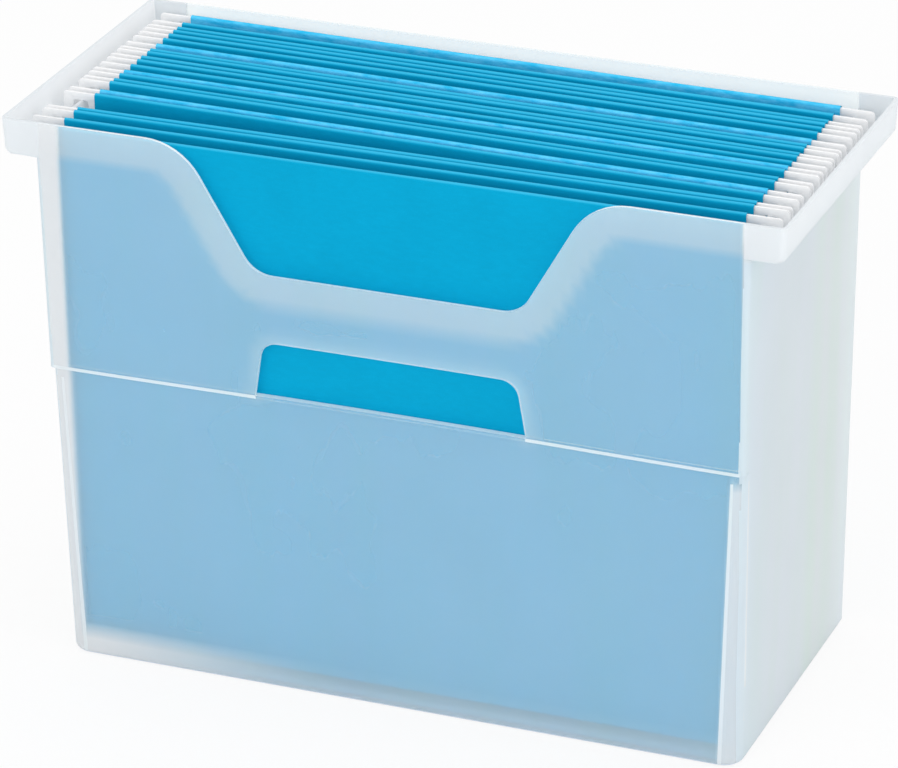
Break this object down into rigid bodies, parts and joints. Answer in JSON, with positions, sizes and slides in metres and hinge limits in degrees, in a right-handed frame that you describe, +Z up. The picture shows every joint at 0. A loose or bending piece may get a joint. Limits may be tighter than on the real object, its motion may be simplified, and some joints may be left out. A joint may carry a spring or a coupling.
{
  "type": "portable file box",
  "caption": "Open-topped frosted file box with a hand slot and thumb scoop in its front, hanging ledges at both ends and lift-out hanging folders.",
  "frame": {"origin": "on the ground, under the middle of the tub's outer box", "axes": "+X to the right across the front, +Y from the front to the back, +Z up"},
  "size_m": [0.3428, 0.151, 0.248],
  "materials": {
    "tub": "frosted translucent polypropylene",
    "folder_card": "dyed card, matte",
    "hanging_rod": "white coated, satin"
  },
  "bodies": {
    "tub": {"tub": "tub"},
    "folder_01": {"folder_01_sheet": "folder_card", "folder_01_front_rod": "hanging_rod", "folder_01_back_rod": "hanging_rod"},
    "folder_02": {"folder_02_sheet": "folder_card", "folder_02_front_rod": "hanging_rod", "folder_02_back_rod": "hanging_rod"},
    "folder_03": {"folder_03_sheet": "folder_card", "folder_03_front_rod": "hanging_rod", "folder_03_back_rod": "hanging_rod"},
    "folder_04": {"folder_04_sheet": "folder_card", "folder_04_front_rod": "hanging_rod", "folder_04_back_rod": "hanging_rod"},
    "folder_05": {"folder_05_sheet": "folder_card", "folder_05_front_rod": "hanging_rod", "folder_05_back_rod": "hanging_rod"},
    "folder_06": {"folder_06_sheet": "folder_card", "folder_06_front_rod": "hanging_rod", "folder_06_back_rod": "hanging_rod"},
    "folder_07": {"folder_07_sheet": "folder_card", "folder_07_front_rod": "hanging_rod", "folder_07_back_rod": "hanging_rod"},
    "folder_08": {"folder_08_sheet": "folder_card", "folder_08_front_rod": "hanging_rod", "folder_08_back_rod": "hanging_rod"},
    "folder_09": {"folder_09_sheet": "folder_card", "folder_09_front_rod": "hanging_rod", "folder_09_back_rod": "hanging_rod"},
    "folder_10": {"folder_10_sheet": "folder_card", "folder_10_front_rod": "hanging_rod", "folder_10_back_rod": "hanging_rod"},
    "folder_11": {"folder_11_sheet": "folder_card", "folder_11_front_rod": "hanging_rod", "folder_11_back_rod": "hanging_rod"}
  },
  "joints": [
    {"name": "lift_folder_01", "type": "slide", "parent": "tub", "child": "folder_01", "axis": [0, 0, 1], "range_m": [0, 0.26]},
    {"name": "lift_folder_02", "type": "slide", "parent": "tub", "child": "folder_02", "axis": [0, 0, 1], "range_m": [0, 0.26]},
    {"name": "lift_folder_03", "type": "slide", "parent": "tub", "child": "folder_03", "axis": [0, 0, 1], "range_m": [0, 0.26]},
    {"name": "lift_folder_04", "type": "slide", "parent": "tub", "child": "folder_04", "axis": [0, 0, 1], "range_m": [0, 0.26]},
    {"name": "lift_folder_05", "type": "slide", "parent": "tub", "child": "folder_05", "axis": [0, 0, 1], "range_m": [0, 0.26]},
    {"name": "lift_folder_06", "type": "slide", "parent": "tub", "child": "folder_06", "axis": [0, 0, 1], "range_m": [0, 0.26]},
    {"name": "lift_folder_07", "type": "slide", "parent": "tub", "child": "folder_07", "axis": [0, 0, 1], "range_m": [0, 0.26]},
    {"name": "lift_folder_08", "type": "slide", "parent": "tub", "child": "folder_08", "axis": [0, 0, 1], "range_m": [0, 0.26]},
    {"name": "lift_folder_09", "type": "slide", "parent": "tub", "child": "folder_09", "axis": [0, 0, 1], "range_m": [0, 0.26]},
    {"name": "lift_folder_10", "type": "slide", "parent": "tub", "child": "folder_10", "axis": [0, 0, 1], "range_m": [0, 0.26]},
    {"name": "lift_folder_11", "type": "slide", "parent": "tub", "child": "folder_11", "axis": [0, 0, 1], "range_m": [0, 0.26]}
  ]
}
